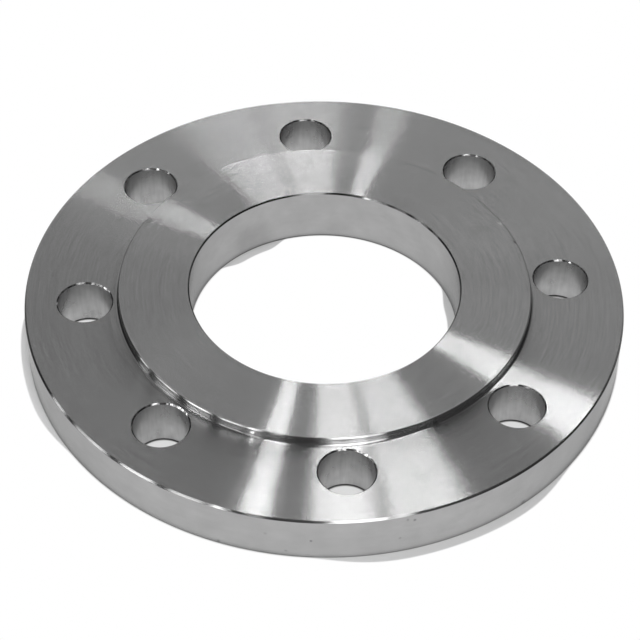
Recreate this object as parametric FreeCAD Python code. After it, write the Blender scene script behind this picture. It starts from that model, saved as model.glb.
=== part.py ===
"""Pipe flange: a flat steel ring with a raised sealing face and eight bolt holes.

The ring is turned all over from one piece of plate, bored through for the pipe,
and drilled on a bolt circle. The origin is the centre of the flat back face, and
+Z runs along the pipe's axis towards the raised face. The bolt holes straddle
the X and Y axes, as they do on an installed pipe.
"""

import FreeCAD, Part

import math
import os

# Driving dimensions, in millimetres
PIPE_DIAMETER = 88.9
PIPE_CLEARANCE = 0.8
RAISED_FACE_WIDTH = 23.75
RAISED_FACE_HEIGHT = 3.0
FACE_TO_HOLE = 2.0
BOLT_DIAMETER = 16.0
BOLT_CLEARANCE = 1.0
BOLT_COUNT = 8
HOLE_TO_RIM = 11.0
PLATE_THICKNESS = 17.0

# Broken edges and the tool radius at the foot of the raised face
BORE_BREAK = 0.4
FACE_BREAK = 0.35
RIM_BREAK = 0.4
BACK_BREAK = 0.25
HOLE_BREAK = 0.3
STEP_ROOT_RADIUS = 0.9

# Sizes worked out from the ones above
BORE_RADIUS = PIPE_DIAMETER / 2 + PIPE_CLEARANCE
FACE_RADIUS = BORE_RADIUS + RAISED_FACE_WIDTH
HOLE_RADIUS = BOLT_DIAMETER / 2 + BOLT_CLEARANCE
BOLT_CIRCLE_RADIUS = FACE_RADIUS + FACE_TO_HOLE + HOLE_RADIUS
RIM_RADIUS = BOLT_CIRCLE_RADIUS + HOLE_RADIUS + HOLE_TO_RIM
OVERALL_HEIGHT = PLATE_THICKNESS + RAISED_FACE_HEIGHT
BOLT_PITCH = 360.0 / BOLT_COUNT

AXIS = FreeCAD.Vector(0, 0, 1)
CENTRE = FreeCAD.Vector(0, 0, 0)
# How far a drill runs past each face, so that no skin is left over a hole
OVERRUN = 1.0


def point(radius, height):
    """A point of the turned section, in the plane through the axis."""
    return FreeCAD.Vector(radius, 0, height)


def line(start, end):
    """A straight edge of the section."""
    return Part.LineSegment(start, end).toShape()


def root_arc():
    """The tool radius where the raised face's wall meets the outer face."""
    radius = min(STEP_ROOT_RADIUS, FACE_TO_HOLE / 2, RAISED_FACE_HEIGHT / 2)
    centre = point(FACE_RADIUS + radius, PLATE_THICKNESS + radius)
    diagonal = radius * math.sqrt(0.5)
    top = centre - point(radius, 0)
    middle = centre - point(diagonal, diagonal)
    foot = centre - point(0, radius)
    return Part.Arc(top, middle, foot).toShape()


def section():
    """The closed section that is turned about the axis, bore to rim."""
    root = root_arc()
    root_top = root.Vertexes[0].Point
    root_foot = root.Vertexes[1].Point
    raised_side = [
        point(BORE_RADIUS + BACK_BREAK, 0),
        point(BORE_RADIUS, BACK_BREAK),
        point(BORE_RADIUS, OVERALL_HEIGHT - BORE_BREAK),
        point(BORE_RADIUS + BORE_BREAK, OVERALL_HEIGHT),
        point(FACE_RADIUS - FACE_BREAK, OVERALL_HEIGHT),
        point(FACE_RADIUS, OVERALL_HEIGHT - FACE_BREAK),
        root_top,
    ]
    rim_side = [
        root_foot,
        point(RIM_RADIUS - RIM_BREAK, PLATE_THICKNESS),
        point(RIM_RADIUS, PLATE_THICKNESS - RIM_BREAK),
        point(RIM_RADIUS, BACK_BREAK),
        point(RIM_RADIUS - BACK_BREAK, 0),
        raised_side[0],
    ]
    edges = [line(a, b) for a, b in zip(raised_side, raised_side[1:])]
    edges.append(root)
    edges += [line(a, b) for a, b in zip(rim_side, rim_side[1:])]
    return Part.Face(Part.Wire(edges))


def turned_ring():
    """The whole ring as it leaves the lathe, before drilling."""
    return section().revolve(CENTRE, AXIS, 360)


def bolt_drill():
    """The metal that one bolt hole takes away, with both its edges broken."""
    length = PLATE_THICKNESS + 2 * OVERRUN
    drill = Part.makeCylinder(HOLE_RADIUS, length, point(0, -OVERRUN), AXIS)
    wide = HOLE_RADIUS + HOLE_BREAK + OVERRUN
    narrow = HOLE_RADIUS
    depth = HOLE_BREAK + OVERRUN
    front = Part.makeCone(narrow, wide, depth, point(0, PLATE_THICKNESS - HOLE_BREAK), AXIS)
    back = Part.makeCone(wide, narrow, depth, point(0, -OVERRUN), AXIS)
    return drill.fuse([front, back])


def bolt_holes():
    """Every bolt hole's drill, half a pitch off the X axis and evenly spaced."""
    drills = []
    for number in range(BOLT_COUNT):
        drill = bolt_drill()
        drill.translate(point(BOLT_CIRCLE_RADIUS, 0))
        drill.rotate(CENTRE, AXIS, (number + 0.5) * BOLT_PITCH)
        drills.append(drill)
    return drills


def flange():
    """The finished ring, drilled and with every edge broken."""
    return turned_ring().cut(bolt_holes())


os.makedirs("parts", exist_ok=True)
flange().exportStep("parts/flange.step")
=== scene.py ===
"""A turned steel pipe flange lying on its back on a white studio floor.

The flange is rebuilt from its section, in finer steps than the plain solid has.
Its finish is made of the lathe's own marks: fine grooves round the axis, which
spread a reflection across themselves and hardly at all along themselves.
"""

import math

import bmesh
import bpy
from mathutils import Matrix, Vector


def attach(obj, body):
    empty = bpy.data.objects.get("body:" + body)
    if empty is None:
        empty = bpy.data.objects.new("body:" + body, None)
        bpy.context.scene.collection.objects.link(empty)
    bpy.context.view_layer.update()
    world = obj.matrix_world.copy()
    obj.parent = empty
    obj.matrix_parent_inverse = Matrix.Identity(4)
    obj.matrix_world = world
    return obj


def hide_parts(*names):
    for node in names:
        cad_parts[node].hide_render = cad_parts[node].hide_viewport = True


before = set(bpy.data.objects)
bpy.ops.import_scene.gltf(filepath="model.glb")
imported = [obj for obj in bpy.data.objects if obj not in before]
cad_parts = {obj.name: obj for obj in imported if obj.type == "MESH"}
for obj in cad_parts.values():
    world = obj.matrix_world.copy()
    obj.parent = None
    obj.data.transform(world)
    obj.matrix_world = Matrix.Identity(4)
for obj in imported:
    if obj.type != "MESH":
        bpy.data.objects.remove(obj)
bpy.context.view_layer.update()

MM = 0.001

# The flange, in metres: the solid's sizes, but for four broken edges that are drawn wider
# than its own, as they show: 0.4 mm at the bore and the rim, 0.25 at the back and 0.3 at the
# bolt holes
BORE_RADIUS = 45.25 * MM
FACE_RADIUS = 69.0 * MM
RIM_RADIUS = 100.0 * MM
BOLT_CIRCLE_RADIUS = 80.0 * MM
HOLE_RADIUS = 9.0 * MM
HOLE_COUNT = 8
OUTER_FACE = 17.0 * MM
RAISED_FACE = 20.0 * MM
BORE_BREAK = 0.5 * MM
FACE_BREAK = 0.35 * MM
RIM_BREAK = 0.6 * MM
BACK_BREAK = 0.35 * MM
HOLE_BREAK = 0.45 * MM
ROOT_RADIUS = 0.9 * MM

# How finely it is drawn, how far apart two points are still one, and from where an edge is
# sharp and a face flat
RING_STEPS = 360
HOLE_STEPS = 96
ROOT_STEPS = 8
SAME_POINT = 1e-7
SHARP_ANGLE = math.radians(20)
FLAT_NORMAL = 0.9999

# The lathe's grooves: their pitch, the share of a wall's height that counts as travel
# across them, and the slope of their sides. A slope grows evenly from the bottom of a
# groove to its crest, and more sharply near the crest. On a wall the grooves are shallower
# than on a face, and their depth is a little uneven
GROOVE_PITCH = 0.22 * MM
WALL_TRAVEL = 0.37
EVEN_SLOPE = 0.285
CREST_SLOPE = 0.37
CREST_POWER = 7.0
RAISED_EVEN_SLOPE = 0.38
RAISED_CREST_SLOPE = 0.23
RAISED_CREST_POWER = 5.0
WALL_DEPTH = 0.25
LEAST_DEPTH = 0.97
DEPTH_CHANGE = 0.06
LIP_SLOPE = 0.08
SIDEWAYS_SLOPE = 0.006

# The turned steel: its grey, what the flat faces and the rim gain and the raised face
# loses, how far the lathe's lines and the stains change it, and its gloss
TURNED_GREY = 0.415
FACE_GAIN = 0.015
RIM_GAIN = 0.025
RAISED_FACE_LOSS = 0.05
FINE_LINES = 0.03
FINE_LINES_ON_A_FACE = 0.07
BROAD_LINES = 0.05
STAIN = 0.12
TURNED_ROUGHNESS = 0.16
STREAKING = 0.96
STREAK_TURN = 0.25
GLANCING_TINT = (0.65, 0.65, 0.65, 1.0)

# The drilled steel: its grey, how much the marks and patches change it, the painted shade
# that darkens the top, the painted shade of the very bottom, the grey of the broken edge and
# what a nick adds, and its roughness, which the patches change and the broken edge lowers
DRILLED_GREY = 0.6
MARKS_CHANGE = 0.24
PATCHES_CHANGE = 0.36
TOP_PAINTED_SHADE = 0.43
BOTTOM_SHADE = 0.6
EDGE_GREY = 0.12
NICK_GAIN = 0.28
DRILLED_ROUGHNESS = 0.3
PATCHES_ROUGHNESS = 0.2
EDGE_SMOOTHNESS = 0.15
BUMP_STRENGTH = 0.15
BUMP_HEIGHT = 0.1 * MM

# Noises, each by how fine and how detailed it is. The first four run over the lathe's rings,
# and the rest over the surface
DEPTH_NOISE = (2.0, 1.0)
SIDEWAYS_NOISE = (3.1, 1.0)
FINE_NOISE = (1.8, 2.0)
BROAD_NOISE = (1.2, 2.0)
STAIN_NOISE = (110.0, 3.0)
DRILL_NOISE = (900.0, 4.0)
PATCH_NOISE = (160.0, 2.0)
NICK_NOISE = (850.0, 1.0)

# From where the nicks' noise is a nick, how many times faster the fine lines' noise changes
# along a ring than the others', and how the drill's marks are drawn out down the hole
NICKED = (0.44, 0.56)
SHORT_ARCS = 5.0
DRAWN_DOWN = (1.0, 1.0, 0.12)

# How far a surface faces up or down, from 0 on a wall to 1 on a flat face: where a broken
# edge begins, and where a flat face does
BROKEN_FACING = (0.3, 0.5)
FLAT_FACING = (0.85, 0.97)

# The light that the broken edges lose: all round, more at the bore, less on the raised face,
# and more or less towards some sides, where it is painted shade or a painted glint. A side is
# (turn, width, amount): the turn is in degrees, anticlockwise from the camera's right-hand
# side, and the width is how far it reaches to either side of that. The raised face goes
# without most of the front's painted glint
EDGE_LOSS = 0.5
BORE_EDGE_LOSS = 0.36
RAISED_EDGE_GAIN = 0.2
EDGE_PAINTED_SHADE_LEFT = (197, 18, 0.25)
EDGE_PAINTED_GLINT_FRONT = (281, 26, 0.42)
FRONT_GLINT_MISSED = 0.8
BORE_EDGE_PAINTED_LIGHT = [(56, 8, 0.14), (70, 5, -0.3), (43, 5, -0.12), (105, 7, 0.1)]

# The turn and width of the raised face's back, and the painted highlight that it and its lip gain
BACK_SIDE = (104, 40)
BACK_PAINTED_HIGHLIGHT = 0.1
BACK_LIP_PAINTED_HIGHLIGHT = 0.16

# Small marks of handling, and painted glints: place and size in mm, and the share of light
# that each takes away, or adds as a painted glint where it is below 0. A mark is even over
# its core, a share of its size
MARKS_AND_PAINTED_GLINTS = [
    # A painted glint at the raised face's edge
    ((48.5, 47.7, 20.0), 1.0, -0.35),
    ((55.5, 40.2, 20.0), 0.8, 0.5),
    ((-19.8, 93.0, 17.0), 0.9, 0.13),
    ((61.2, -15.2, 20.0), 0.8, 0.15),
    ((-66.2, 26.5, 17.0), 1.0, 0.6),
    ((-75.7, 2.6, 17.0), 0.6, 0.12),
    ((-76.1, 1.0, 17.0), 0.6, 0.12),
    ((51.9, -46.6, 17.0), 1.6, 0.35),
    ((54.6, -45.7, 17.0), 0.8, 0.25),
    # A painted glint at the root of the step, and its painted reflection on the outer face below
    ((-2.0, -69.0, 18.3), 1.0, -1.6),
    ((-2.4, -72.0, 17.0), 2.2, -0.15),
    ((53.3, -84.6, 14.7), 0.6, 0.25),
    ((55.2, -83.4, 14.0), 0.7, 0.35),
    ((51.5, -85.7, 6.6), 0.6, 0.2),
    ((83.3, -55.4, 1.2), 1.2, 0.3),
    ((26.3, -96.5, 8.0), 0.6, 0.4),
    ((18.8, -98.2, 2.4), 0.7, 0.2),
    ((-2.5, -100.0, 1.0), 0.8, 0.35),
    ((12.5, -99.2, 9.5), 0.8, 0.12),
    ((-36.0, 28.0, 4.0), 11.0, 0.17),
]
MARK_CORE = 0.3

# The camera, which looks down on the flange from in front
CAMERA_TURN = math.radians(16.6)
CAMERA_RISE = math.radians(44.44)
CAMERA_DISTANCE = 0.7007
CAMERA_PAN = math.radians(0.107)
CAMERA_TILT = math.radians(-0.817)
CAMERA_ROLL = math.radians(-1.336)
CAMERA_FOCAL_PIXELS = 2090.4
FRAME_PIXELS = 640
SENSOR_MM = 36.0

# The lit panels that hang level over the flange, all at one height: place from the axis to
# the camera's right and away from the camera, length and width, all in metres, the turn of
# the length in degrees, and the radiance
CEILING = OUTER_FACE + 0.449
PANELS = {
    "lamp_left": (-0.0708, 0.0176, 0.0503, 0.0315, 81.8, 40.5),
    "lamp_middle": (0.0204, 0.1358, 0.0547, 0.1383, 0.0, 8.6),
    "lamp_right": (0.1030, 0.1029, 0.0645, 0.0780, 97.1, 16.5),
    "lamp_far_right": (0.2930, 0.2350, 0.0970, 0.0880, 148.9, 15.7),
    "seam_left": (-0.1100, 0.3600, 0.1200, 0.0040, 42.0, 1.2),
    "glow_left": (-0.1150, 0.5650, 0.1300, 0.0900, 52.0, 0.7),
    "glow_right": (0.1650, 0.4600, 0.2000, 0.0600, 100.0, 0.3),
}

# The narrow lamps and tall windows round the camera, which glint along the broken edges:
# left and right, low and high, all in degrees, and the radiance
STRIP_DISTANCE = 1.2
STRIPS = {
    "strip_1": (173.0, 179.6, 8, 19, 4.6),
    "strip_2": (184.0, 190.5, 12, 27, 3.1),
    "strip_3": (190.5, 197.0, 12, 28, 4.4),
    "strip_4": (202.5, 214.5, 18, 34, 6.5),
    "strip_5": (219.5, 231.0, 22, 38, 5.0),
    "strip_6": (234.2, 237.2, 26, 52, 10.0),
    "strip_7": (245.0, 251.0, 28, 42, 1.8),
    "strip_high_1": (186.0, 191.0, 30, 34, 3.0),
    "strip_high_2": (226.5, 234.0, 41, 46, 4.0),
    "window_1": (273.3, 294.0, 20, 68, 3.2),
    "window_2": (294.0, 301.5, 20, 60, 1.9),
    "window_low": (273.3, 300.0, 2, 20, 2.2),
}

# The studio: its grey from the level of the floor to straight overhead, as (sine of the
# rise, grey), how bright that is, how much it leans to the right, and the grey of the side
# round the camera. A direction counts as dim or bright by the sine of the rise halfway from
# it to the camera: dim up to the first number, and bright from the second
STUDIO_GREYS = [
    (0.0, 1.0), (0.25, 0.75), (0.4, 0.49), (0.5, 0.35), (0.64, 0.185), (0.70, 0.14),
    (0.766, 0.115), (0.85, 0.086), (0.93, 0.033), (1.0, 0.055),
]
STUDIO_LEVEL = 1.8
STUDIO_LEAN = 0.35
DIM_SIDE = 0.12
DIM_TO_BRIGHT = (0.75, 0.88)
WHITE = (1.0, 1.0, 1.0, 1.0)

# The floor: its paint, and the painted shadow that darkens it inside the bore and under
# the flange, with the stretch over which it changes. Distances are in mm out from the rim
# or in from the bore
FLOOR_SIZE = 4.0
PAINT = 0.76
BORE_FLOOR_PAINTED_SHADOW = 0.16
INTO_THE_BORE = (-1.0, 0.0)
UNDER_PAINTED_SHADOW = 0.56
OUT_FROM_UNDER = (-0.2, 0.1)

# How far the paint shows before the floor is lifted to pure white: all round, and further
# towards some sides, as above. The lift comes in over the last bit of that reach, and the
# open floor is never lifted less than the least
REACH = 0.6
REACH_SIDES = [(194, 24, 2.3), (296, 28, 2.9)]
REACH_INSIDE = 0.5
REACH_INSIDE_SIDES = [(126, 18, 3.0), (1, 26, 2.8)]
FADE = 0.8
LEAST_LIFT = 0.18

# How far the floor is lifted in the bolt holes, less so at the one on the right, and how
# far it is lifted for reflections: all over beyond their own stretch, and in a bolt hole
HOLE_LIFT = 0.62
HOLE_LIFT_RIGHT = (6, 14, -0.35)
MIRRORED = 0.8
MIRRORED_REACH = (-0.2, 1.7)
MIRRORED_IN_A_HOLE = 0.5


class Value:
    """A number or vector in a node tree. Arithmetic on it adds nodes."""

    def __init__(self, tree, socket):
        self.tree = tree
        self.socket = socket

    def maths(self, operation, *others):
        """One Math node on this value and any others."""
        return self.tree.maths(operation, self, *others)

    def __add__(self, other):
        return self.tree.maths("ADD", self, other)

    def __radd__(self, other):
        return self.tree.maths("ADD", other, self)

    def __sub__(self, other):
        return self.tree.maths("SUBTRACT", self, other)

    def __rsub__(self, other):
        return self.tree.maths("SUBTRACT", other, self)

    def __mul__(self, other):
        return self.tree.maths("MULTIPLY", self, other)

    def __rmul__(self, other):
        return self.tree.maths("MULTIPLY", other, self)

    def __truediv__(self, other):
        return self.tree.maths("DIVIDE", self, other)

    def __pow__(self, other):
        return self.tree.maths("POWER", self, other)


class Tree:
    """The nodes of one material or of the world."""

    def __init__(self, owner):
        owner.use_nodes = True
        self.tree = owner.node_tree
        self.tree.nodes.clear()

    def node(self, kind, settings=None, inputs=None, output=0):
        """Adds a node: its settings first, then its sockets' values or links."""
        made = self.tree.nodes.new(kind)
        for name, value in (settings or {}).items():
            if name == "stops":
                self.set_stops(made.color_ramp, value)
            else:
                setattr(made, name, value)
        for name, value in (inputs or {}).items():
            if isinstance(value, Value):
                self.tree.links.new(value.socket, made.inputs[name])
            else:
                made.inputs[name].default_value = value
        return Value(self, made.outputs[output]) if made.outputs else None

    def set_stops(self, ramp, stops):
        """Gives a ramp its (place, grey level) stops."""
        while len(ramp.elements) < len(stops):
            ramp.elements.new(1.0)
        for element, (place, level) in zip(ramp.elements, stops):
            element.position = place
            element.color = (level, level, level, 1.0)

    def maths(self, operation, *terms):
        return self.node("ShaderNodeMath", {"operation": operation}, dict(enumerate(terms)))

    def vector_maths(self, operation, *terms, output=0):
        inputs = dict(enumerate(terms))
        return self.node("ShaderNodeVectorMath", {"operation": operation}, inputs, output)

    def dot(self, first, second):
        return self.vector_maths("DOT_PRODUCT", first, second, output="Value")

    def length(self, vector):
        return self.vector_maths("LENGTH", vector, output="Value")

    def scaled(self, vector, factor):
        return self.node("ShaderNodeVectorMath", {"operation": "SCALE"}, {0: vector, "Scale": factor})

    def part(self, vector, axis):
        """One of a vector's three numbers."""
        return self.node("ShaderNodeSeparateXYZ", {}, {0: vector}, axis)

    def combined(self, x, y, z):
        return self.node("ShaderNodeCombineXYZ", {}, {0: x, 1: y, 2: z})

    def noise(self, vector, scale, detail):
        inputs = {"Vector": vector, "Scale": scale, "Detail": detail}
        return self.node("ShaderNodeTexNoise", {}, inputs)

    def smooth_step(self, value, low, high):
        """0 up to low, 1 from high on, and a smooth rise between them."""
        settings = {"interpolation_type": "SMOOTHSTEP"}
        inputs = {"Value": value, "From Min": low, "From Max": high}
        return self.node("ShaderNodeMapRange", settings, inputs)


def toward(tree, outward, turn, width):
    """1 towards a side of the flange, up to a third of its width away, and 0 beyond the width."""
    angle = math.radians(turn) + CAMERA_TURN
    facing = tree.dot(outward, (math.cos(angle), math.sin(angle), 0.0))
    return tree.smooth_step(facing, math.cos(math.radians(width)), math.cos(math.radians(width / 3)))


def with_sides(tree, outward, level, sides):
    """A level with each side's amount added towards that side."""
    for turn, width, amount in sides:
        level = level + amount * toward(tree, outward, turn, width)
    return level


class TurnedSurface:
    """Where a point of the turned steel lies, as values in its material's tree."""

    def __init__(self, tree):
        self.tree = tree
        self.place = tree.node("ShaderNodeTexCoord", output="Object")
        self.normal = tree.node("ShaderNodeNewGeometry", output="Normal")
        flat = tree.vector_maths("MULTIPLY", self.place, (1.0, 1.0, 0.0))
        self.outward = tree.vector_maths("NORMALIZE", flat)
        self.radius = tree.length(flat)
        self.height = tree.part(self.place, "Z")
        self.travel = self.radius + self.height * WALL_TRAVEL
        facing = tree.part(self.normal, "Z").maths("ABSOLUTE")
        self.on_a_face = tree.smooth_step(facing, *FLAT_FACING)
        self.on_an_edge = tree.smooth_step(facing, *BROKEN_FACING) * (1.0 - self.on_a_face)
        self.on_raised_face = self.above(RAISED_FACE, -1.5, -0.5)
        self.on_the_lip = self.beyond(FACE_RADIUS, -0.9, -0.7) * self.on_raised_face * self.on_a_face
        # Noise that is read here changes from ring to ring, and much less along one
        ring = tree.combined(0.0, 0.0, self.travel / MM)
        self.long_arcs = tree.vector_maths("ADD", ring, self.outward)
        self.short_arcs = tree.vector_maths("ADD", ring, tree.scaled(self.outward, SHORT_ARCS))

    def beyond(self, radius, start, end):
        """0 within a radius and 1 beyond it. The change starts and ends so many mm past it."""
        return self.tree.smooth_step(self.radius, radius + start * MM, radius + end * MM)

    def above(self, level, start, end):
        """0 under a level and 1 above it. The change starts and ends so many mm past it."""
        return self.tree.smooth_step(self.height, level + start * MM, level + end * MM)

    def toward(self, turn, width):
        return toward(self.tree, self.outward, turn, width)


def groove_slope(surface):
    """The slope of a groove's side, which changes sign at the bottom and jumps at the crest."""
    turns = surface.travel / GROOVE_PITCH
    side = (turns - turns.maths("FLOOR")) * 2.0 - 1.0
    raised = surface.on_raised_face
    even = EVEN_SLOPE + (RAISED_EVEN_SLOPE - EVEN_SLOPE) * raised
    crest = side ** CREST_POWER * CREST_SLOPE * (1.0 - raised)
    raised_crest = side ** RAISED_CREST_POWER * RAISED_CREST_SLOPE * raised
    return side * even + crest + raised_crest


def grooved_normal(surface):
    """The normal, tipped in and out across the lathe's marks and a very little along them.

    The raised face's outer lip leans out a little as well.
    """
    tree = surface.tree
    around = tree.vector_maths("CROSS_PRODUCT", (0.0, 0.0, 1.0), surface.outward)
    across = tree.vector_maths("CROSS_PRODUCT", surface.normal, around)
    depth = WALL_DEPTH + (1.0 - WALL_DEPTH) * surface.on_a_face
    depth = depth * (LEAST_DEPTH + DEPTH_CHANGE * tree.noise(surface.long_arcs, *DEPTH_NOISE))
    slope = groove_slope(surface) * depth + LIP_SLOPE * surface.on_the_lip
    sideways = (tree.noise(surface.long_arcs, *SIDEWAYS_NOISE) - 0.5) * SIDEWAYS_SLOPE
    tipped = tree.vector_maths("ADD", surface.normal, tree.scaled(across, slope))
    tipped = tree.vector_maths("ADD", tipped, tree.scaled(around, sideways))
    return tree.vector_maths("NORMALIZE", tipped)


def lathe_lines(surface):
    """Fine lighter and darker rings, which are fainter on the walls."""
    fine = surface.tree.noise(surface.short_arcs, *FINE_NOISE) - 0.5
    fine = fine * (FINE_LINES + FINE_LINES_ON_A_FACE * surface.on_a_face)
    broad = surface.tree.noise(surface.long_arcs, *BROAD_NOISE) - 0.5
    return fine + broad * BROAD_LINES * surface.on_a_face


def wall_stain(surface):
    """Soft stains on the walls of the bore, the step and the rim."""
    stain = surface.tree.noise(surface.place, *STAIN_NOISE) - 0.5
    return stain * STAIN * (1.0 - surface.on_a_face)


def broken_edge_loss_and_painted_light(surface):
    """The share of light that the broken edges lose, with painted glints and painted shade by side."""
    tree, outward, raised = surface.tree, surface.outward, surface.on_raised_face
    at_the_bore = (1.0 - surface.beyond(BORE_RADIUS, 0.75, 1.15)) * raised
    loss = EDGE_LOSS + BORE_EDGE_LOSS * at_the_bore - RAISED_EDGE_GAIN * raised
    # Painted shade on the rim's edge at the left, painted glints at the front, and painted glints and
    # shade round the bore's edge
    loss = with_sides(tree, outward, loss, [EDGE_PAINTED_SHADE_LEFT])
    turn, width, gain = EDGE_PAINTED_GLINT_FRONT
    loss = loss - gain * surface.toward(turn, width) * (1.0 - FRONT_GLINT_MISSED * raised)
    return loss + at_the_bore * with_sides(tree, outward, 0.0, BORE_EDGE_PAINTED_LIGHT)


def painted_highlights_and_shade(surface):
    """Painted highlights on the raised face's back, and painted highlights and shade at the step and its
    foot.
    """
    back = surface.toward(*BACK_SIDE) * surface.on_raised_face * surface.on_a_face
    further_out = surface.beyond(FACE_RADIUS, -17.0, -1.0)
    gain = back * (BACK_PAINTED_HIGHLIGHT * further_out + BACK_LIP_PAINTED_HIGHLIGHT * surface.on_the_lip)
    step = (1.0 - surface.on_a_face) * surface.above(OUTER_FACE, 0.0, 0.3)
    step = step * surface.beyond(FACE_RADIUS, -1.0, -0.5)
    low = surface.above(OUTER_FACE, -0.5, -0.1)
    foot = surface.beyond(FACE_RADIUS, 0.2, 0.5) * low * (1.0 - surface.on_raised_face)
    narrow_foot = foot * (1.0 - surface.beyond(FACE_RADIUS, 0.9, 1.6))
    wide_foot = foot * (1.0 - surface.beyond(FACE_RADIUS, 1.5, 4.0))
    root = surface.beyond(FACE_RADIUS, 0.0, 0.15) * low
    root = root * (1.0 - surface.beyond(FACE_RADIUS, 0.6, 1.0))
    # Painted highlights on the step and its foot, and painted shade at the root
    places = [
        (step, 280, 9, 0.36),
        (narrow_foot, 282, 17, 0.55),
        (narrow_foot, 228, 16, 0.8),
        (wide_foot, 207, 26, 0.32),
        (root, 347, 26, -0.6),
    ]
    for where, turn, width, amount in places:
        gain = gain + amount * where * surface.toward(turn, width)
    return gain


def left_by_marks_and_glints(surface):
    """What the marks of handling and the painted glints leave of the light at each place."""
    left = 1.0
    for centre, size, loss in MARKS_AND_PAINTED_GLINTS:
        centre = tuple(number * MM for number in centre)
        distance = surface.tree.vector_maths("DISTANCE", surface.place, centre, output="Value")
        clear = surface.tree.smooth_step(distance, MARK_CORE * size * MM, size * MM)
        left = left - (1.0 - clear) * loss
    return left


def turned_steel():
    """Bright steel with the fine grooves that a round-nosed tool leaves.

    Some places have painted highlights or painted shade: the broken edges, the step and its
    foot at the front, left and right, and the back of the raised face.
    """
    material = bpy.data.materials.new("turned_steel")
    tree = Tree(material)
    surface = TurnedSurface(tree)
    on_a_face = surface.on_a_face
    on_the_rim = (1.0 - on_a_face) * surface.beyond(RIM_RADIUS, -5.0, -2.0)
    grey = TURNED_GREY + FACE_GAIN * on_a_face + RIM_GAIN * on_the_rim
    grey = grey + lathe_lines(surface) + wall_stain(surface)
    grey = grey * (1.0 - surface.on_an_edge * broken_edge_loss_and_painted_light(surface))
    # Painted highlights and painted shade over the grey
    places = painted_highlights_and_shade(surface)
    grey = grey * (1.0 - RAISED_FACE_LOSS * surface.on_raised_face * on_a_face + places)
    shader = tree.node(
        "ShaderNodeBsdfPrincipled",
        {},
        {
            "Base Color": grey * left_by_marks_and_glints(surface),
            "Metallic": 1.0,
            "Roughness": TURNED_ROUGHNESS,
            "Specular Tint": GLANCING_TINT,
            "Anisotropic": STREAKING,
            "Anisotropic Rotation": STREAK_TURN,
            "Normal": grooved_normal(surface),
        },
    )
    tree.node("ShaderNodeOutputMaterial", {}, {"Surface": shader})
    return material


def drilled_steel():
    """The duller wall of a drilled hole, with soft marks that run down it.

    It has painted shade towards the top and at the very bottom. The broken edge is smoother
    and nicked, so that it glints in short dashes.
    """
    material = bpy.data.materials.new("drilled_steel")
    tree = Tree(material)
    place = tree.node("ShaderNodeTexCoord", output="Object")
    facing = tree.part(tree.node("ShaderNodeNewGeometry", output="Normal"), "Z")
    broken_edge = tree.smooth_step(facing.maths("ABSOLUTE"), *BROKEN_FACING)
    height = tree.part(place, "Z")
    marks = tree.noise(tree.vector_maths("MULTIPLY", place, DRAWN_DOWN), *DRILL_NOISE)
    patches = tree.noise(place, *PATCH_NOISE)
    nicks = tree.smooth_step(tree.noise(place, *NICK_NOISE), *NICKED)

    # Painted shade: darker towards the top, and at the very bottom
    shade = 1.0 - TOP_PAINTED_SHADE * tree.smooth_step(height, 1.0 * MM, OUTER_FACE)
    off_the_bottom = tree.smooth_step(height, 0.3 * MM, 0.6 * MM)
    shade = shade * (BOTTOM_SHADE + (1.0 - BOTTOM_SHADE) * off_the_bottom)
    wall = DRILLED_GREY + (marks - 0.5) * MARKS_CHANGE + (patches - 0.5) * PATCHES_CHANGE
    wall = wall * shade
    edge = EDGE_GREY + NICK_GAIN * nicks
    grey = wall + (edge - wall) * broken_edge
    rough = DRILLED_ROUGHNESS + (patches - 0.5) * PATCHES_ROUGHNESS - broken_edge * EDGE_SMOOTHNESS
    bump = tree.node(
        "ShaderNodeBump", {}, {"Strength": BUMP_STRENGTH, "Distance": BUMP_HEIGHT, "Height": marks}
    )
    shader = tree.node(
        "ShaderNodeBsdfPrincipled",
        {},
        {"Base Color": grey, "Metallic": 1.0, "Roughness": rough, "Normal": bump},
    )
    tree.node("ShaderNodeOutputMaterial", {}, {"Surface": shader})
    return material


def turned_band(mesh, points):
    """Turns a run of (radius, height) points round the axis into a band of faces."""
    verts = [mesh.verts.new((radius, 0.0, height)) for radius, height in points]
    edges = [mesh.edges.new(pair) for pair in zip(verts, verts[1:])]
    bmesh.ops.spin(
        mesh,
        geom=verts + edges,
        cent=(0, 0, 0),
        axis=(0, 0, 1),
        dvec=(0, 0, 0),
        angle=math.tau,
        steps=RING_STEPS,
        use_merge=True,
        use_normal_flip=False,
        use_duplicate=False,
    )


def inner_points():
    """The section from the back of the bore over the raised face to its outer edge."""
    return [
        (BORE_RADIUS + BACK_BREAK, 0.0),
        (BORE_RADIUS, BACK_BREAK),
        (BORE_RADIUS, RAISED_FACE - BORE_BREAK),
        (BORE_RADIUS + BORE_BREAK, RAISED_FACE),
        (FACE_RADIUS - FACE_BREAK, RAISED_FACE),
        (FACE_RADIUS, RAISED_FACE - FACE_BREAK),
    ]


def root_points():
    """The tool radius at the foot of the raised face, from the wall down to the outer face."""
    points = []
    for step in range(ROOT_STEPS + 1):
        angle = math.pi + math.pi / 2 * step / ROOT_STEPS
        radius = FACE_RADIUS + ROOT_RADIUS * (1 + math.cos(angle))
        height = OUTER_FACE + ROOT_RADIUS * (1 + math.sin(angle))
        points.append((radius, height))
    return points


def rim_points():
    """The section of the rim, from the outer face down to the back."""
    return [
        (RIM_RADIUS - RIM_BREAK, OUTER_FACE),
        (RIM_RADIUS, OUTER_FACE - RIM_BREAK),
        (RIM_RADIUS, BACK_BREAK),
        (RIM_RADIUS - BACK_BREAK, 0.0),
    ]


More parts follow.
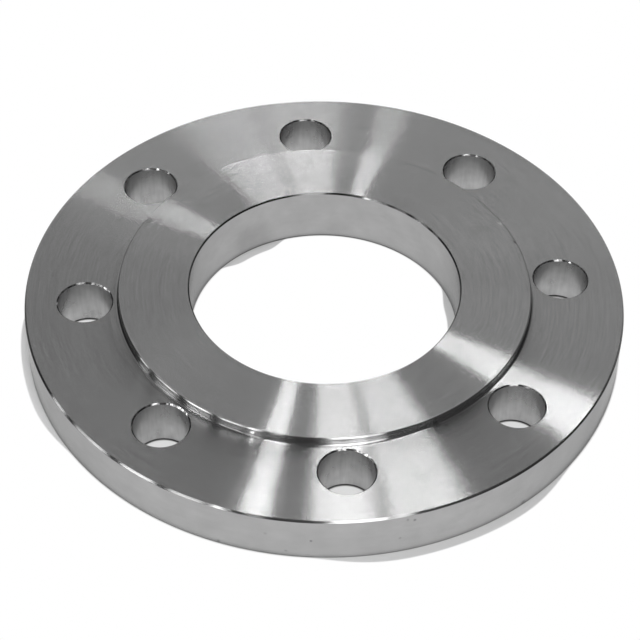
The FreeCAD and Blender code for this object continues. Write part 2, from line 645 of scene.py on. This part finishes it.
def hole_wall(mesh, centre):
    """One bolt hole's wall with its two broken edges."""
    wide = HOLE_RADIUS + HOLE_BREAK
    levels = [
        (wide, OUTER_FACE),
        (HOLE_RADIUS, OUTER_FACE - HOLE_BREAK),
        (HOLE_RADIUS, HOLE_BREAK),
        (wide, 0.0),
    ]
    loops = []
    for radius, height in levels:
        matrix = Matrix.Translation((centre.x, centre.y, height))
        circle = bmesh.ops.create_circle(
            mesh, cap_ends=False, radius=radius, segments=HOLE_STEPS, matrix=matrix
        )
        loops.append([e for v in circle["verts"] for e in v.link_edges if e.verts[0] == v])
    walls = []
    for upper, lower in zip(loops, loops[1:]):
        walls += bmesh.ops.bridge_loops(mesh, edges=upper + lower)["faces"]
    return walls


def drill_holes(mesh):
    """The circle of bolt holes, whose walls take the piece's second material."""
    for number in range(HOLE_COUNT):
        angle = math.tau * (number + 0.5) / HOLE_COUNT
        centre = Vector((math.cos(angle), math.sin(angle), 0)) * BOLT_CIRCLE_RADIUS
        for face in hole_wall(mesh, centre):
            face.material_index = 1


def flat_face(mesh, height):
    """Fills the open ring at one height, round the bolt holes that reach it."""
    rim = [
        e for e in mesh.edges
        if e.is_boundary and all(abs(v.co.z - height) < SAME_POINT for v in e.verts)
    ]
    normal = (0, 0, 1 if height > 0 else -1)
    bmesh.ops.triangle_fill(mesh, use_beauty=True, use_dissolve=False, edges=rim, normal=normal)


def shade_smooth(mesh):
    """Rounds the shading of the turned and drilled walls, and keeps flat faces and corners crisp."""
    for face in mesh.faces:
        face.smooth = True
    for edge in mesh.edges:
        if len(edge.link_faces) == 2:
            flats = [abs(face.normal.z) > FLAT_NORMAL for face in edge.link_faces]
            bent = edge.calc_face_angle() > SHARP_ANGLE
            edge.smooth = not (bent or flats[0] != flats[1])


def flange_piece(materials):
    """The flange: turned bands, bolt holes and the flat faces between them."""
    mesh = bmesh.new()
    turned_band(mesh, inner_points() + root_points())
    turned_band(mesh, rim_points())
    drill_holes(mesh)
    flat_face(mesh, OUTER_FACE)
    flat_face(mesh, 0.0)
    bmesh.ops.remove_doubles(mesh, verts=mesh.verts, dist=SAME_POINT)
    bmesh.ops.recalc_face_normals(mesh, faces=mesh.faces)
    shade_smooth(mesh)
    data = bpy.data.meshes.new("flange_body")
    mesh.to_mesh(data)
    mesh.free()
    for material in materials:
        data.materials.append(material)
    piece = bpy.data.objects.new("flange_body", data)
    bpy.context.scene.collection.objects.link(piece)
    return piece


def camera_direction():
    """The direction from the flange to the camera."""
    level = math.cos(CAMERA_RISE)
    return Vector((math.sin(CAMERA_TURN) * level, -math.cos(CAMERA_TURN) * level, math.sin(CAMERA_RISE)))


def camera_place():
    """The camera's matrix: it looks at the middle of the outer face, then is turned a little."""
    target = Vector((0, 0, OUTER_FACE))
    direction = camera_direction()
    aim = (-direction).to_track_quat("-Z", "Y").to_matrix().to_4x4()
    pan = Matrix.Rotation(CAMERA_PAN, 4, "Y")
    tilt = Matrix.Rotation(CAMERA_TILT, 4, "X")
    roll = Matrix.Rotation(-CAMERA_ROLL, 4, "Z")
    return Matrix.Translation(target + direction * CAMERA_DISTANCE) @ aim @ pan @ tilt @ roll


def add_camera():
    camera = bpy.data.cameras.new("camera")
    camera.sensor_width = SENSOR_MM
    camera.lens = CAMERA_FOCAL_PIXELS / FRAME_PIXELS * SENSOR_MM
    camera.clip_start = 0.01
    camera.clip_end = 100.0
    holder = bpy.data.objects.new("camera", camera)
    holder.matrix_world = camera_place()
    bpy.context.scene.collection.objects.link(holder)
    bpy.context.scene.camera = holder


def add_lamp(name, length, width, radiance):
    """A rectangular lamp that the camera doesn't see, still to be put in its place."""
    lamp = bpy.data.lights.new(name, "AREA")
    lamp.shape = "RECTANGLE"
    lamp.size = length
    lamp.size_y = width
    lamp.energy = radiance * math.pi * length * width
    holder = bpy.data.objects.new(name, lamp)
    holder.visible_camera = False
    bpy.context.scene.collection.objects.link(holder)
    return holder


def add_panel(name, x, y, length, width, turn, radiance):
    """A lit panel that hangs level over the flange.

    It is placed as the camera sees it: x to the right, y away from the camera, and
    its length turned anticlockwise from x by so many degrees.
    """
    holder = add_lamp(name, length, width, radiance)
    holder.location = Matrix.Rotation(CAMERA_TURN, 3, "Z") @ Vector((x, y, CEILING))
    holder.rotation_euler.z = CAMERA_TURN + math.radians(turn)


def add_strip(name, left, right, low, high, radiance):
    """A tall lamp beside or behind the camera, given by the angles that it fills.

    Left and right are turned anticlockwise from the camera's right-hand side. Low
    and high are angles above the floor.
    """
    turn = math.radians((left + right) / 2) + CAMERA_TURN
    rise = math.radians((low + high) / 2)
    direction = Vector((math.cos(turn) * math.cos(rise), math.sin(turn) * math.cos(rise), math.sin(rise)))
    width = 2 * STRIP_DISTANCE * math.tan(math.radians(right - left) / 2) * math.cos(rise)
    height = 2 * STRIP_DISTANCE * math.tan(math.radians(high - low) / 2)
    holder = add_lamp(name, width, height, radiance)
    holder.rotation_euler = direction.to_track_quat("Z", "Y").to_euler()
    holder.location = direction * STRIP_DISTANCE


def add_lamps():
    """All the studio's lamps, which light the flange and draw the streaks on it."""
    for name, panel in PANELS.items():
        add_panel(name, *panel)
    for name, strip in STRIPS.items():
        add_strip(name, *strip)


def add_world():
    """A studio that is bright behind the flange and dim around the camera, which sees plain white."""
    world = bpy.data.worlds.new("studio")
    bpy.context.scene.world = world
    tree = Tree(world)
    direction = tree.node("ShaderNodeTexCoord", output="Generated")
    rise = tree.part(direction, "Z")
    to_the_right = (math.cos(CAMERA_TURN), math.sin(CAMERA_TURN), 0.0)
    lean = 1.0 + STUDIO_LEAN * tree.dot(direction, to_the_right)
    behind = tree.node("ShaderNodeValToRGB", {"stops": STUDIO_GREYS}, {0: rise}) * STUDIO_LEVEL * lean
    halfway = tree.vector_maths("ADD", direction, tuple(camera_direction()))
    halfway = tree.vector_maths("NORMALIZE", halfway)
    share = tree.smooth_step(tree.part(halfway, "Z"), *DIM_TO_BRIGHT)
    level = DIM_SIDE + (behind - DIM_SIDE) * share
    seen = tree.node("ShaderNodeLightPath", output="Is Camera Ray")
    # A Mix node's colours are its sockets 6 and 7, and its output 2
    colour = tree.node("ShaderNodeMix", {"data_type": "RGBA"}, {0: seen, 6: level, 7: WHITE}, 2)
    background = tree.node("ShaderNodeBackground", {}, {"Color": colour, "Strength": 1.0})
    tree.node("ShaderNodeOutputWorld", {}, {"Surface": background})


def from_a_hole(tree, place):
    """How far a place on the floor is from the middle of the nearest bolt hole, in mm."""
    x, y = tree.part(place, "X"), tree.part(place, "Y")
    sector = math.tau / HOLE_COUNT
    turns = y.maths("ARCTAN2", x) / sector
    turn = (turns - turns.maths("FLOOR") - 0.5) * sector
    radius = tree.length(place)
    along = radius * turn.maths("COSINE") - BOLT_CIRCLE_RADIUS
    across = radius * turn.maths("SINE")
    return (along * along + across * across) ** 0.5 / MM


def floor_paint():
    """White paint, lifted to pure white where the camera or a reflection sees it.

    Close to the flange the paint shows, and with it the flange's own shadow. It reaches
    out furthest on the left and at the front right, and inside the bore at the back left
    and on the right. What shows through the bolt holes is lifted part of the way. Painted
    shadow darkens the paint inside the bore, and most under the flange.
    """
    material = bpy.data.materials.new("floor")
    tree = Tree(material)
    place = tree.node("ShaderNodeTexCoord", output="Object")
    outward = tree.vector_maths("NORMALIZE", place)
    radius = tree.length(place) / MM
    outside = radius - RIM_RADIUS / MM
    inside = BORE_RADIUS / MM - radius
    nearest = outside.maths("MAXIMUM", inside)
    open_floor = tree.smooth_step(nearest, *OUT_FROM_UNDER)
    hole = HOLE_RADIUS / MM
    in_a_hole = 1.0 - tree.smooth_step(from_a_hole(tree, place), hole - FADE, hole)

    reach = with_sides(tree, outward, REACH, REACH_SIDES)
    reach_inside = with_sides(tree, outward, REACH_INSIDE, REACH_INSIDE_SIDES)
    hole_lift = with_sides(tree, outward, HOLE_LIFT, [HOLE_LIFT_RIGHT])
    lift = tree.smooth_step(outside, reach - FADE, reach)
    lift = lift.maths("MAXIMUM", tree.smooth_step(inside, reach_inside - FADE, reach_inside))
    lift = lift.maths("MAXIMUM", in_a_hole * hole_lift)
    lift = lift.maths("MAXIMUM", open_floor * LEAST_LIFT)
    mirrored = tree.smooth_step(nearest, *MIRRORED_REACH)
    mirrored = mirrored.maths("MAXIMUM", in_a_hole * MIRRORED_IN_A_HOLE)
    camera = tree.node("ShaderNodeLightPath", output="Is Camera Ray")
    glossy = tree.node("ShaderNodeLightPath", output="Is Glossy Ray")
    lifted = camera * lift + glossy * mirrored * MIRRORED

    # Painted shadow: the paint is darker under the flange and inside the bore
    under = 1.0 - open_floor.maths("MAXIMUM", in_a_hole)
    level = PAINT - UNDER_PAINTED_SHADOW * under - BORE_FLOOR_PAINTED_SHADOW * tree.smooth_step(inside, *INTO_THE_BORE)
    paint = tree.node("ShaderNodeBsdfDiffuse", {}, {"Color": tree.combined(level, level, level)})
    glow = tree.node("ShaderNodeEmission", {}, {"Strength": 1.0})
    surface = tree.node("ShaderNodeMixShader", {}, {0: lifted, 1: paint, 2: glow})
    tree.node("ShaderNodeOutputMaterial", {}, {"Surface": surface})
    return material


def add_floor():
    """The studio's floor, which isn't part of the object."""
    mesh = bmesh.new()
    bmesh.ops.create_grid(mesh, x_segments=1, y_segments=1, size=FLOOR_SIZE)
    data = bpy.data.meshes.new("floor")
    mesh.to_mesh(data)
    mesh.free()
    data.materials.append(floor_paint())
    floor = bpy.data.objects.new("floor", data)
    bpy.context.scene.collection.objects.link(floor)


piece = flange_piece([turned_steel(), drilled_steel()])
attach(piece, "root")
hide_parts("flange")

add_camera()
add_lamps()
add_world()
add_floor()
bpy.context.scene.view_settings.view_transform = "Standard"
